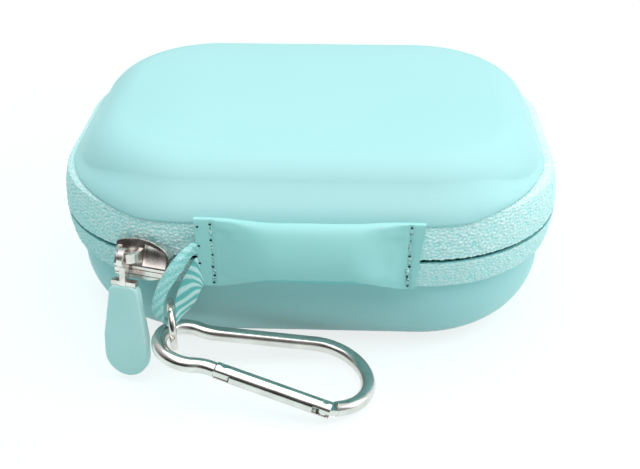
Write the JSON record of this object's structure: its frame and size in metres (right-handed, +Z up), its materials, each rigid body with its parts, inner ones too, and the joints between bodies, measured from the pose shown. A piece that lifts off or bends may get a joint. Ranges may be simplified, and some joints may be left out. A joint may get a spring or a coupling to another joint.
{
  "type": "earbud case",
  "caption": "Small zipped shell case with a strap handle, silicone zip pull, ribbon loop, ring and carabiner",
  "frame": {"origin": "under the middle of the closed case, on the surface it stands on", "axes": "+X right along the handle, +Y to the back, +Z up; the handle and the hinge are on the -Y side"},
  "size_m": [0.105, 0.1014, 0.044],
  "materials": {
    "pu_skin": "matte moulded PU skin, pale aqua",
    "foam": "EVA foam",
    "fleece": "brushed lining",
    "binding": "woven binding",
    "zip_tape": "woven zip tape, aqua",
    "zip_coil": "nylon coil",
    "strap": "soft PU strap",
    "strap_foam": "soft foam",
    "ribbon": "satin ribbon",
    "net": "knitted net",
    "elastic": "elastic",
    "die_cast": "nickel-plated die-cast zinc",
    "silicone": "silicone",
    "steel": "nickel-plated steel",
    "polished_alu": "polished aluminium"
  },
  "bodies": {
    "base": {"base_cover": "pu_skin", "base_core": "foam", "base_lining": "fleece", "base_binding": "binding", "base_zip_tape": "zip_tape", "base_zip_coil": "zip_coil", "spine_tape": "zip_tape", "handle_cover": "strap", "handle_backing": "strap", "handle_pad": "strap_foam", "ribbon_loop": "ribbon"},
    "lid": {"lid_cover": "pu_skin", "lid_core": "foam", "lid_lining": "fleece", "lid_binding": "binding", "lid_zip_tape": "zip_tape", "lid_tape_end": "zip_tape", "lid_zip_coil": "zip_coil", "pocket_mesh": "net", "pocket_hem": "elastic"},
    "slider": {"slider_body": "die_cast", "slider_crown": "die_cast"},
    "pull": {"pull_link": "steel", "pull_tab": "silicone"},
    "ring": {"jump_ring": "steel"},
    "carabiner": {"carabiner_body": "polished_alu"},
    "gate": {"gate_sleeve": "polished_alu", "gate_pin": "steel", "gate_nose_pin": "steel", "gate_spring": "steel"}
  },
  "joints": [
    {"name": "lid_hinge", "type": "hinge", "parent": "base", "child": "lid", "pos_m": [0, -0.041, 0.0254], "axis": [1, 0, 0], "range_deg": [0, 95], "deforming": ["spine_tape", "handle_cover", "handle_backing", "handle_pad", "lid_tape_end", "ribbon_loop"]},
    {"name": "slider_travel", "type": "hinge", "parent": "base", "child": "slider", "pos_m": [-0.023, -0.0115, 0.0254], "axis": [0, 0, 1], "range_deg": [-72, 0]},
    {"name": "pull_swing", "type": "hinge", "parent": "slider", "child": "pull", "pos_m": [-0.03434, -0.04378, 0.0269], "axis": [0.9659, -0.2588, 0], "range_deg": [-100, 0]},
    {"name": "ring_swing", "type": "hinge", "parent": "base", "child": "ring", "pos_m": [-0.026, -0.0443, 0.01655], "axis": [-0.9781, -0.2079, 0], "range_deg": [0, 25], "deforming": ["ribbon_loop"]},
    {"name": "carabiner_swing", "type": "hinge", "parent": "ring", "child": "carabiner", "pos_m": [-0.026, -0.0443, 0.012], "axis": [-0.9781, -0.2079, 0], "range_deg": [0, 30], "deforming": ["ribbon_loop"]},
    {"name": "gate_pivot", "type": "hinge", "parent": "carabiner", "child": "gate", "pos_m": [0.00463, -0.05863, 0.00344], "axis": [-0.2257, 0, -0.9742], "range_deg": [0, 25], "stiffness_Nm_per_rad": 0.02, "springref_deg": -11.46}
  ]
}
